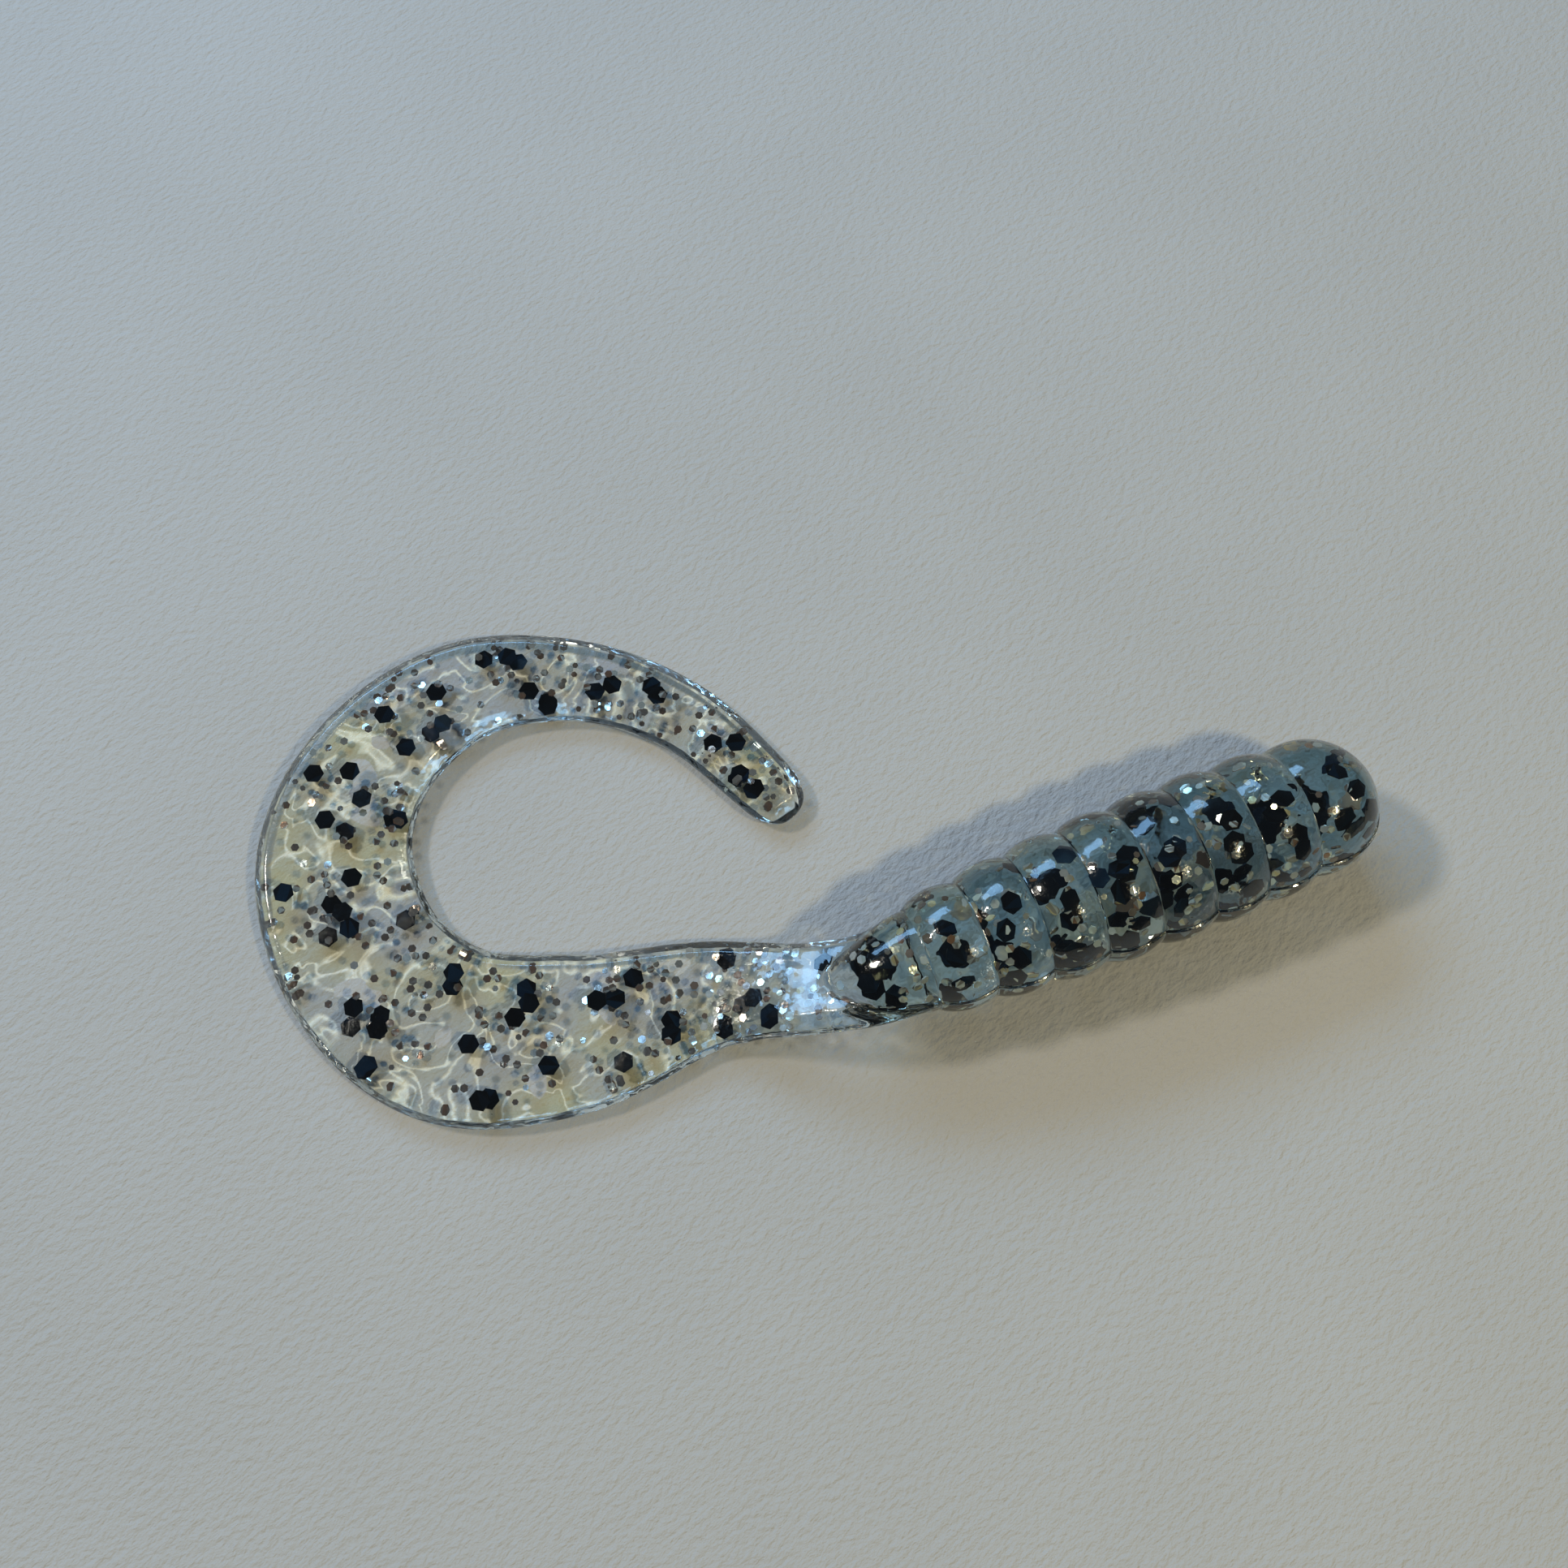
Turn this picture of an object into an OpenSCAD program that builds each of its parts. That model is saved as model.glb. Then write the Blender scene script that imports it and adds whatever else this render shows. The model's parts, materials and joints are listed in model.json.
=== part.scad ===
// Curly-tail soft plastic fishing lure: a ringed grub body with a flat C-shaped tail.
// Millimetres. The body's axis is X with the nose at the origin pointing +X, and +Z is up.
// The moulding is cut at its natural flex points, so that it can bend as the soft plastic does.

/* [Body] */
// Length of the ball-shaped head, from the nose to the first groove
head_l = 4.6; // [4.2:0.1:5.2]
// Largest radius of the head
head_r = 3.65; // [3.4:0.05:4]
// Radius of the small flat on the nose, where a jig head seats
nose_flat_r = 1.5; // [1:0.1:2]
// Length of one body ring, from groove to groove
ring_pitch = 3; // [2.8:0.05:3.3]
// Radius in the grooves where the body is fattest
groove_r_max = 3.65; // [3.4:0.05:4]
// Radius in the last groove, next to the tail
groove_r_tail = 2.7; // [2.5:0.05:3]
// Height of a ring's crest above the line between its two grooves
crest_h = 0.38; // [0.2:0.02:0.5]

/* [Tail] */
// Thickness of the flat tail
blade_t = 1.7; // [1.4:0.1:2]
// How far the tail's edge slopes in from the parting line to each face
edge_slope = 0.8; // [0.4:0.1:1.2]
// Height of the narrow land along the tail's parting line
edge_land = 0.3; // [0.1:0.1:0.6]
// Roll of the tail's plane where it leaves the body, in degrees
tail_roll = 18; // [0:1:25]
// Scale of the tail's width
tail_width_scale = 1; // [0.9:0.05:1.1]

/* [Flexing] */
// Most that one groove of the body bends to either side, in degrees
groove_flex = 8; // [4:1:10]
// Most that one flap line of the tail bends up or down, in degrees
flap_flex = 14; // [5:1:20]
// Most that one curl line of the tail opens or closes, in degrees
curl_flex = 5; // [2:1:6]
// Gap at the pivot of each flex line
pivot_gap = 0.1; // [0.06:0.02:0.2]

/* [Glitter] */
// Black flake across its flats
black_af = 1; // [0.6:0.1:1.2]
// Silver flake across its flats
silver_af = 0.4; // [0.2:0.05:0.6]
// Thickness of a flake
flake_t = 0.06; // [0.04:0.01:0.1]
// Black flakes in a full-sized ring
ring_black = 17; // [4:1:22]
// Silver flakes in a full-sized ring
ring_silver = 30; // [4:1:36]
// Part of the way round the body that the flakes have settled away from, in degrees
clear_arc = 75; // [0:5:120]

/* [Hidden] */
RINGS = 7;
SEGMENTS = 10;
TAIL = ["tail_neck", for (i = [1:8]) str("tail_blade_", i), "tail_tip"];
HOSTS = ["head", for (i = [1:RINGS]) str("ring_", i), "tail_cone", each TAIL];

clear_tint = [0.72, 0.80, 0.84, 0.45];
smoke_tint = [0.36, 0.46, 0.52, 0.75];
black_tint = [0.02, 0.02, 0.03];
silver_tint = [0.78, 0.80, 0.80];

// Extra angle that each cut-back face has beyond half of its flex
flex_spare = 0.75;
// The groove at which the body is fattest, counted in rings from the back of the head
fat_groove = 2.2;
ball_x = -sqrt(head_r * head_r - nose_flat_r * nose_flat_r);
ball_cells = 96;
// The lowest crest stands on the surface that the lure lies on, and so does the blade
rest_z = -(groove_r_max + crest_h);
blade_mid_z = rest_z + blade_t / 2;

// The tail's centreline from the last groove round the C to the tip, as [x, y, lift, width, roll].
// lift is 1 at the height of the body's axis and 0 where the blade lies flat; roll is a share
// of tail_roll.
ROUTE = [
    [-25.6, 0.0, 1.00, 5.7, 1.00],
    [-28.34, 0.05, 0.97, 5.4, 0.95],
    [-31.44, 0.95, 0.64, 5.2, 0.70],
    [-34.24, 2.2, 0.21, 5.5, 0.35],
    [-37.14, 3.05, 0.00, 6.3, 0.05],
    [-43.54, 3.65, 0.00, 8.6, 0],
    [-49.44, 5.95, 0.00, 9.5, 0],
    [-52.64, 11.2, 0.00, 9.0, 0],
    [-52.49, 17.6, 0.00, 8.6, 0],
    [-48.74, 22.3, 0.00, 7.4, 0],
    [-42.84, 24.25, 0.00, 6.2, 0],
    [-36.74, 22.5, 0.00, 4.9, 0],
    [-32.14, 18.5, 0.00, 4.2, 0],
    [-29.44, 13.3, 0.00, 3.7, 0],
    [-28.54, 10.45, 0.00, 3.2, 0],
];
// The rows at which a flex line crosses the tail
CUT_ROWS = [2, 4, 5, 6, 7, 8, 9, 10, 11, 12];
last_row = len(ROUTE) - 1;
// The tip's outline closes as half an ellipse over this many rows
tip_round = 0.85;
// How much of its thickness the tip's very end keeps
tip_keep = 0.45;
// The bullet's radius falls to nothing at this row, ever faster as it nears it
bullet_end = 2;
bullet_power = 2.2;
cone_sides = 36;
// The end of a closed outline stops just short of a point
nearly = 0.99;

// ---------- shapes of the body ----------

// x of groove k, counted from 0 behind the head to RINGS in front of the tail
function groove_x(k) = -head_l - ring_pitch * k;

// Radius of the body at groove k: a smooth swelling behind the head that thins toward the tail
function groove_r(k) =
    let (away = (k - fat_groove) / (RINGS - fat_groove))
    groove_r_max - (groove_r_max - groove_r_tail) * away * away;

// Turns a profile drawn as [radius, x] about the X axis
module about_x() rotate([0, 90, 0]) rotate_extrude($fn = ball_cells) children();

// Everything between two cut-back faces, at x0 (rear) and x1 (front), as [radius, x]
module between_cuts(x0, x1, rear_cut, front_cut) {
    reach = 2 * head_r;
    slope = tan(groove_flex / 2 + flex_spare);
    rear = x0 + (rear_cut ? pivot_gap / 2 : 0);
    front = x1 - (front_cut ? pivot_gap / 2 : 0);
    polygon([
        [0, rear],
        [reach, rear + (rear_cut ? reach * slope : 0)],
        [reach, front - (front_cut ? reach * slope : 0)],
        [0, front]
    ]);
}

module head() color(smoke_tint) about_x()
    intersection() {
        translate([0, ball_x]) circle(r = head_r, $fn = ball_cells);
        between_cuts(groove_x(0), 0, true, false);
    }

// One barrel-shaped ring between groove k - 1 (front) and groove k (rear)
module ring(k) {
    rear = [groove_r(k), groove_x(k)];
    front = [groove_r(k - 1), groove_x(k - 1)];
    chord = norm(front - rear);
    arc_r = (chord * chord / 4 + crest_h * crest_h) / (2 * crest_h);
    outward = [front[1] - rear[1], rear[0] - front[0]] / chord;
    centre = (front + rear) / 2 - outward * (arc_r - crest_h);
    color(smoke_tint) about_x()
        intersection() {
            translate(centre) circle(r = arc_r, $fn = ball_cells);
            between_cuts(rear[1], front[1], true, true);
        }
}

// ---------- shapes of the tail ----------

function unit(v) = v / norm(v);

// Smooth curve through b and c, with a and d as their neighbours
function through(a, b, c, d, f) =
    (2 * b + (c - a) * f + (2 * a - 5 * b + 4 * c - d) * f * f
     + (3 * b - a - 3 * c + d) * f * f * f) / 2;

// The route's row at any place t along it
function row(t) =
    let (i = max(0, min(last_row - 1, floor(t))))
    through(ROUTE[max(i - 1, 0)], ROUTE[i], ROUTE[i + 1], ROUTE[min(i + 2, last_row)], t - i);

function spot(t) =
    let (r = row(t))
    [r[0], r[1], blade_mid_z * (1 - max(0, r[2]))];

function forward(t) = unit(spot(min(t + 0.02, last_row)) - spot(max(t - 0.02, 0)));

// [point, forward, outward across the width, up out of the flat]
function frame_at(t) =
    let (
        fwd = forward(t),
        flat_out = unit(cross([0, 0, 1], fwd)),
        flat_up = cross(fwd, flat_out),
        roll = tail_roll * row(t)[4]
    )
    [spot(t), fwd,
     flat_out * cos(roll) + flat_up * sin(roll),
     flat_up * cos(roll) - flat_out * sin(roll)];

// The tip's outline closes like half an ellipse
function closing(t) =
    let (q = max(0, (t - (last_row - tip_round)) / tip_round))
    sqrt(max(0, 1 - q * q));
function half_width(t) = tail_width_scale * row(t)[3] / 2 * closing(t);
function half_thick(t) =
    blade_t / 2 * (t > last_row - tip_round ? tip_keep + (1 - tip_keep) * closing(t) : 1);

// The tail's edge slopes in from a narrow land at the parting line to each face, as both halves
// of the mould have sloping walls. Each outline below follows those three straight runs.
most_slope = 0.6;
function slope_in(t) = min(edge_slope, half_width(t) * most_slope);
function half_land(t) = min(edge_land / 2, half_thick(t) * most_slope);

// Outline of the flat tail, with a point on each midline
function flat_section(t) =
    let (
        wide = half_width(t),
        thick = half_thick(t),
        face = wide - slope_in(t),
        land = half_land(t),
        right = [[0, -thick], [face, -thick], [wide, -land], [wide, 0], [wide, land],
                 [face, thick], [0, thick]]
    )
    [each right, for (i = [5:-1:1]) [-right[i][0], right[i][1]]];

// Distance from the centreline to that outline in the direction a
function flat_r(t, a) =
    let (
        across = max(abs(cos(a)), 0.001),
        up = max(abs(sin(a)), 0.001),
        rise = half_thick(t) - half_land(t),
        run = slope_in(t)
    )
    min(half_width(t) / across, half_thick(t) / up,
        (rise * half_width(t) + run * half_land(t)) / (rise * across + run * up));

// Radius of the bullet-shaped rear end of the body, which dies into the flat tail
function bullet_r(t) = groove_r_tail * (1 - pow(min(1, t / bullet_end), bullet_power));

// Outline of the bullet and the flat tail together, as one star-shaped loop
function bullet_section(t) =
    [for (i = [0:cone_sides - 1])
        let (a = 360 * i / cone_sides)
        max(flat_r(t, a), bullet_r(t)) * [cos(a), sin(a)]];

// How far a face is cut back at [u, v], so that the next piece can bend about the flex line
function cut_back(kind, p) =
    kind == "flap" ? pivot_gap / 2 + abs(p[1]) * tan(flap_flex / 2 + flex_spare)
    : kind == "curl" ? pivot_gap / 2 + abs(p[0]) * tan(curl_flex / 2 + flex_spare)
    : kind == "groove" ? pivot_gap / 2 + norm(p) * tan(groove_flex / 2 + flex_spare)
    : 0;

function placed(frame, p, back) = frame[0] + p[0] * frame[2] + p[1] * frame[3] + back * frame[1];

// A closed solid swept along the route through the places in stops, with its two ends cut back
module swept(stops, kinds, bullet = false) {
    last = len(stops) - 1;
    loops = [for (t = stops) bullet ? bullet_section(t) : flat_section(t)];
    sides = len(loops[0]);
    points = [
        for (j = [0:last])
            let (frame = frame_at(stops[j]))
            for (p = loops[j])
                placed(frame, p,
                       j == 0 ? cut_back(kinds[0], p) : j == last ? -cut_back(kinds[1], p) : 0),
        placed(frame_at(stops[0]), [0, 0], cut_back(kinds[0], [0, 0])),
        placed(frame_at(stops[last]), [0, 0], -cut_back(kinds[1], [0, 0]))
    ];
    first_cap = (last + 1) * sides;
    faces = [
        for (j = [0:last - 1], i = [0:sides - 1])
            let (
                n = (i + 1) % sides,
                a = j * sides + i,
                b = j * sides + n,
                c = a + sides,
                d = b + sides
            )
            each [[a, c, b], [b, c, d]],
        for (i = [0:sides - 1])
            let (n = (i + 1) % sides)
            each [[first_cap, i, n],
                  [first_cap + 1, last * sides + n, last * sides + i]]
    ];
    polyhedron(points = points, faces = faces, convexity = 4);
}

// Even steps along the route between two rows
function steps(t0, t1, n) = [for (i = [0:n]) t0 + (t1 - t0) * i / n];

// Flex lines alternate: the first lets the tail flap, the next lets the C open and close
function line_kind(k) = k % 2 == 0 ? "flap" : "curl";

module tail_cone() color(smoke_tint)
    swept(steps(0, CUT_ROWS[0], 10), ["groove", line_kind(0)], bullet = true);

// Segment k of the flat tail: 0 is the neck, then the blade's eight pieces
module tail_segment(k) color(clear_tint)
    swept(steps(CUT_ROWS[k], CUT_ROWS[k + 1], 6), [line_kind(k), line_kind(k + 1)]);

module tail_tip() color(clear_tint)
    swept([each steps(CUT_ROWS[SEGMENTS - 1], last_row - tip_round, 6),
           for (a = [18:18:72]) last_row - tip_round + tip_round * sin(a),
           last_row - tip_round * (1 - nearly)],
          [line_kind(SEGMENTS - 1), "none"]);

// ---------- glitter ----------

module flake(across) cylinder(d = across / cos(30), h = flake_t, center = true, $fn = 6);

// A random share r of 0 to 1 as a swing to either side
function swing(most, r) = most * (2 * r - 1);

// Most that a flake tilts out of the skin in the body, and out of the flat in the tail, in degrees
body_tilt = 30;
tail_tilt = 7;
// The shells that a body's flakes lie in, as shares of its radius: most are just under the skin
SHELLS = [0.84, 0.84, 0.62, 0.84, 0.84, 0.4];

// The middle of the arc without flakes, turned from straight up toward -Y
clear_middle = -52;

// count flakes in shells about the body's axis, drawn in by the share taper at the rear
module shell_flakes(across, count, seed, x_mid, x_spread, radius, taper) {
    r = rands(0, 1, count * 5, seed);
    for (i = [0:count - 1]) {
        s = [for (k = [0:4]) r[5 * i + k]];
        rotate([clear_middle + clear_arc / 2 + (360 - clear_arc) * (i + s[0]) / count, 0, 0])
            translate([x_mid + swing(x_spread, s[1]), 0,
                       SHELLS[i % len(SHELLS)] * radius * (1 - taper * (1 - s[1]))])
            rotate([swing(body_tilt, s[2]), swing(body_tilt, s[3]), 60 * s[4]])
            flake(across);
    }
}

// count flakes lying nearly flat in the tail between places t0 and t1, in layers of the thickness
module sheet_flakes(across, count, seed, t0, t1, layers, edge) {
    r = rands(0, 1, count * 5, seed);
    for (i = [0:count - 1]) {
        s = [for (k = [0:4]) r[5 * i + k]];
        t = t0 + (t1 - t0) * (i + s[0]) / count;
        frame = frame_at(t);
        at = placed(frame, [swing(half_width(t) - edge, s[1]), layers[i % len(layers)]], 0);
        m = [for (k = [0:2]) [frame[1][k], frame[2][k], frame[3][k], at[k]]];
        multmatrix([each m, [0, 0, 0, 1]])
            rotate([swing(tail_tilt, s[2]), swing(tail_tilt, s[3]), 60 * s[4]])
            flake(across);
    }
}

black_layers = [-0.28, 0.28];
silver_layers = [0.5, 0, -0.5];
// A flake's middle stays this far from the edge of the tail
black_edge = 1.15;
silver_edge = 0.75;
// Flakes in one square millimetre of the tail
black_density = 0.13;
silver_density = 0.5;
seed_black = 11;
seed_silver = 211;
// The head and the bullet hold this many flakes for each one in a full-sized ring
head_share = 0.85;
bullet_share = 0.5;
// A thinner ring holds fewer, by this power of its radius
thinning = 3;
function ring_share(k) = pow(groove_r(k - 0.5) / groove_r_max, thinning);
// Where the flakes of the head, a ring and the bullet spread, as [middle, spread, radius, taper]
head_zone = [ball_x + 0.6, 1.2, head_r * 0.88, 0];
function ring_zone(k) = [groove_x(k - 0.5), ring_pitch / 5, groove_r(k - 0.5), 0];
bullet_zone = [groove_x(RINGS) - 1.95, 1.35, groove_r_tail * 0.8, 0.42];
// How far past half a flake's width it stays from the end of its stretch of the tail
end_room = 0.45;

// Area of the tail between two places
function strip_area(t0, t1) = norm(spot(t1) - spot(t0)) * (half_width(t0) + half_width(t1));

module zone_flakes(across, count, seed, zone)
    shell_flakes(across, round(count), seed, zone[0], zone[1], zone[2], zone[3]);

module host_flakes(k, across, ring_count, layers, edge, density, seed) {
    if (k == 0)
        zone_flakes(across, head_share * ring_count, seed, head_zone);
    else if (k <= RINGS)
        zone_flakes(across, ring_share(k) * ring_count, seed + k, ring_zone(k));
    else if (k == RINGS + 1)
        zone_flakes(across, bullet_share * ring_count, seed + k, bullet_zone);
    else {
        j = k - RINGS - 2;
        t0 = CUT_ROWS[j];
        t1 = j == SEGMENTS - 1 ? last_row - tip_round / 2 : CUT_ROWS[j + 1];
        spare = (across / 2 + end_room) / norm(spot(t1) - spot(t0)) * (t1 - t0);
        sheet_flakes(across, round(density * strip_area(t0, t1)), seed + k,
                     t0 + spare, t1 - spare, layers, edge);
    }
}

module black_flakes(k) color(black_tint)
    host_flakes(k, black_af, ring_black, black_layers, black_edge, black_density, seed_black);

module silver_flakes(k) color(silver_tint)
    host_flakes(k, silver_af, ring_silver, silver_layers, silver_edge, silver_density, seed_silver);

// ---------- nodes ----------

head();
for (k = [1:RINGS])
    ring(k);
tail_cone();
for (k = [0:SEGMENTS - 2])
    tail_segment(k);
tail_tip();
for (k = [0:len(HOSTS) - 1])
    black_flakes(k);
for (k = [0:len(HOSTS) - 1])
    silver_flakes(k);
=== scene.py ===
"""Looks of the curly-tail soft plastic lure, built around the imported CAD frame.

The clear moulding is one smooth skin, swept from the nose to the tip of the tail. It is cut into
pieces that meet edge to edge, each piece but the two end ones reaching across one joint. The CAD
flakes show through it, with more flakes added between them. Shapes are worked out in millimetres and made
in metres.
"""

import json
import math

import bpy
import numpy as np
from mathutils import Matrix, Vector, noise

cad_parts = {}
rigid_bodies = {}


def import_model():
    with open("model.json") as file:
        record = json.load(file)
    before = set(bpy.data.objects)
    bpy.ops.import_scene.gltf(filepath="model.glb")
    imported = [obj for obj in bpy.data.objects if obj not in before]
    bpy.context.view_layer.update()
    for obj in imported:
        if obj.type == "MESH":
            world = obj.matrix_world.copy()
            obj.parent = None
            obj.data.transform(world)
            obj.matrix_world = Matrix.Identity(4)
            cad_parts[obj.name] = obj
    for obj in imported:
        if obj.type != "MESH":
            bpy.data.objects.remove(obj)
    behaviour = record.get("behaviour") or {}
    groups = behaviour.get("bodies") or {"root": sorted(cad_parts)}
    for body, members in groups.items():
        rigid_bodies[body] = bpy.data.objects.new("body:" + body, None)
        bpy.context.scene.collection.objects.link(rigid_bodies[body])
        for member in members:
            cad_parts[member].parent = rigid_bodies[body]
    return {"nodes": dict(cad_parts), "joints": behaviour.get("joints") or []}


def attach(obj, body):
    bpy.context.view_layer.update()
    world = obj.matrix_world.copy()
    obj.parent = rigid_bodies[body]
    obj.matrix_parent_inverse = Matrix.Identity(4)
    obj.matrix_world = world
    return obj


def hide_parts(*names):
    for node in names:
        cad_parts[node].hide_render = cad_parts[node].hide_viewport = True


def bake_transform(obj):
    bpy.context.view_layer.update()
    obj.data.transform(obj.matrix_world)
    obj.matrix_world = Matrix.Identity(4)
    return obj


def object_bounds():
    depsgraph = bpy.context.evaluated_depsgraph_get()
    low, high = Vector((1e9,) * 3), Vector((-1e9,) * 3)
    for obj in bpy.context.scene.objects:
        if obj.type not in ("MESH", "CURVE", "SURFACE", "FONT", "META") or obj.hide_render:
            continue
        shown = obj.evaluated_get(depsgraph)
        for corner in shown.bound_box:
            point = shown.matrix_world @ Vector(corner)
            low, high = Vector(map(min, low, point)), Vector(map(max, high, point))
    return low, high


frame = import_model()
cad_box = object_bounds()

MM = 0.001

# ---------- the design's own dimensions, in millimetres ----------

HEAD_L, HEAD_R, NOSE_FLAT_R = 4.6, 3.65, 1.5
RINGS, RING_PITCH, CREST_H = 7, 3.0, 0.38
GROOVE_R_MAX, GROOVE_R_TAIL, FAT_GROOVE = 3.65, 2.7, 2.2
BLADE_T, EDGE_SLOPE, EDGE_LAND, TAIL_ROLL = 1.7, 0.8, 0.3, math.radians(18)
BULLET_END, BULLET_POWER = 2, 2.2
# The tail's centreline as rows of x, y, lift, width and share of the roll. Lift is 1 at the height
# of the body's axis, and 0 where the tail lies flat.
ROUTE = np.array([
    [-25.6, 0.0, 1.00, 5.7, 1.00],
    [-28.34, 0.05, 0.97, 5.4, 0.95],
    [-31.44, 0.95, 0.64, 5.2, 0.70],
    [-34.24, 2.2, 0.21, 5.5, 0.35],
    [-37.14, 3.05, 0.00, 6.3, 0.05],
    [-43.54, 3.65, 0.00, 8.6, 0],
    [-49.44, 5.95, 0.00, 9.5, 0],
    [-52.64, 11.2, 0.00, 9.0, 0],
    [-52.49, 17.6, 0.00, 8.6, 0],
    [-48.74, 22.3, 0.00, 7.4, 0],
    [-42.84, 24.25, 0.00, 6.2, 0],
    [-36.74, 22.5, 0.00, 4.9, 0],
    [-32.14, 18.5, 0.00, 4.2, 0],
    [-29.44, 13.3, 0.00, 3.7, 0],
    [-28.54, 10.45, 0.00, 3.2, 0],
])
WIDTH, ROLL_SHARE = 3, 4    # columns of ROUTE
CUT_ROWS = [2, 4, 5, 6, 7, 8, 9, 10, 11, 12]
LAST_ROW = len(ROUTE) - 1
TIP_ROUND = 0.85
REST_Z = -(GROOVE_R_MAX + CREST_H)
BLADE_MID_Z = REST_Z + BLADE_T / 2
BALL_X = -math.sqrt(HEAD_R ** 2 - NOSE_FLAT_R ** 2)
TAIL_X = -HEAD_L - RING_PITCH * RINGS

# ---------- how finely and how softly the skin is made ----------

AROUND = 128            # points round each loop
FINE = 4096             # points a loop is first worked out with
PROFILE_FINE, NOSE_FINE = 9000, 400    # points of the body's and the nose's profile at first
# Share of the points that go where the outline turns: round a loop, along the body and the nose
TURN_SHARE, BODY_TURN_SHARE, NOSE_TURN_SHARE = 0.55, 0.45, 0.6
GROOVE_FILLET = 0.035   # softness of a groove's bottom
SECTION_P = 34          # how crisp the tail's edges are
UNION_P = 22            # how crisp the line is where the bullet dies into the tail
TIP_LAND = 0.4          # share of the edge's thickness that is left at the tip
SLOPE_LIMIT = 0.6       # the most of the half width that a sloping edge takes
FLASH_H, FLASH_W = 0.07, 0.055    # the thin ridge along the parting line
MOULD_SHIFT = 0.07      # how far the lower half of the mould sits off the upper one
GATE_R, GATE_H = 0.26, 0.32       # the broken nub of the gate on the nose
GATE_OFF = 0.7          # how far the nub sits from the middle of the nose, toward -Y
GATE_EDGE = 0.035       # how softly the nub falls to the flat of the nose
GATE_RAGGED = 0.05      # how uneven the broken end of the nub is
NOSE_RIM, NOSE_RIM_POWER = 0.02, 14    # how far, and how late, the nose's flat falls away
NOSE_FLAT_TO = 0.985    # share of the flat's radius where the ball's own profile takes over
WAVE_H = 0.035          # how far the tail's faces wander from flat
SLOW_WAVE, RIB_WAVE = (1.3, 0.33), (0.5, 0.16)    # share of WAVE_H, and waves across per mm
RIBS_PER_ROW = 6.5      # how fast the cross ribs come along the tail
WAVES_FROM, WAVES_STOP = 1.5, 2    # the row where they start, and how far from the end they fade
NOSE_LOOPS, HEAD_LOOPS, RING_LOOPS, CONE_LOOPS = 22, 22, 26, 12
TAIL_STEP = 0.32        # distance between loops along the tail
TIP_STRAIGHT, TIP_CURVED = 14, 26    # loops before the round tip, and round it
VERY_END = 0.0006       # share of the tip's round that is left at its last loop
THIN = 0.02             # the least width and radius that a loop can have


# ---------- shapes of the body ----------

def groove_x(k):
    """Where groove k is: groove 0 is behind the head."""
    return -HEAD_L - RING_PITCH * k


def groove_r(k):
    """Radius at the bottom of groove k, with k anywhere between two grooves too."""
    away = (k - FAT_GROOVE) / (RINGS - FAT_GROOVE)
    return GROOVE_R_MAX - (GROOVE_R_MAX - GROOVE_R_TAIL) * away ** 2


def ring_arc(k, x):
    """Height at x of the arc that bulges between groove k - 1 and groove k."""
    rear = np.array([groove_r(k), groove_x(k)])
    front = np.array([groove_r(k - 1), groove_x(k - 1)])
    chord = np.linalg.norm(front - rear)
    arc_r = (chord ** 2 / 4 + CREST_H ** 2) / (2 * CREST_H)
    outward = np.array([front[1] - rear[1], rear[0] - front[0]]) / chord
    centre = (front + rear) / 2 - outward * (arc_r - CREST_H)
    return centre[0] + np.sqrt(np.maximum(arc_r ** 2 - (x - centre[1]) ** 2, 0))


def body_radius(x):
    """Radius of the body at x: the ball and the rings, with a small fillet in each groove."""
    arcs = [np.sqrt(np.maximum(HEAD_R ** 2 - (x - BALL_X) ** 2, 0))]
    arcs += [ring_arc(k, x) for k in range(1, RINGS + 1)]
    arcs = np.array(arcs)
    top = arcs.max(axis=0)
    return top + GROOVE_FILLET * np.log(np.exp((arcs - top) / GROOVE_FILLET).sum(axis=0))


# ---------- shapes of the tail ----------

def unit(v):
    return v / np.linalg.norm(v)


def row(t):
    """The route's row at any place t, on a smooth curve through its rows."""
    i = int(np.clip(np.floor(t), 0, LAST_ROW - 1))
    a, b, c, d = (ROUTE[int(np.clip(i + n, 0, LAST_ROW))] for n in (-1, 0, 1, 2))
    f = t - i
    return (2 * b + (c - a) * f + (2 * a - 5 * b + 4 * c - d) * f ** 2
            + (3 * b - a - 3 * c + d) * f ** 3) / 2


def spot(t):
    """The tail's centreline at t, in millimetres."""
    x, y, lift = row(t)[:3]
    return np.array([x, y, BLADE_MID_Z * (1 - max(0, lift))])


def axes_for(forward, roll):
    """Outward across the width, and up out of the flat."""
    flat_out = unit(np.cross([0, 0, 1], forward))
    flat_up = np.cross(forward, flat_out)
    return (flat_out * math.cos(roll) + flat_up * math.sin(roll),
            flat_up * math.cos(roll) - flat_out * math.sin(roll))


def frame_at(t):
    """The centreline at t, with the ways forward, outward and up there."""
    forward = unit(spot(min(t + 0.02, LAST_ROW)) - spot(max(t - 0.02, 0)))
    return (spot(t), forward, *axes_for(forward, TAIL_ROLL * row(t)[ROLL_SHARE]))


def closing(t):
    """Share of the width that is left at t, as the tip rounds off."""
    q = max(0, (t - (LAST_ROW - TIP_ROUND)) / TIP_ROUND)
    return math.sqrt(max(0, 1 - q * q))


def to_end(t):
    """Length of the tail from t to its very end."""
    return np.linalg.norm(spot(LAST_ROW) - spot(t))


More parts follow.
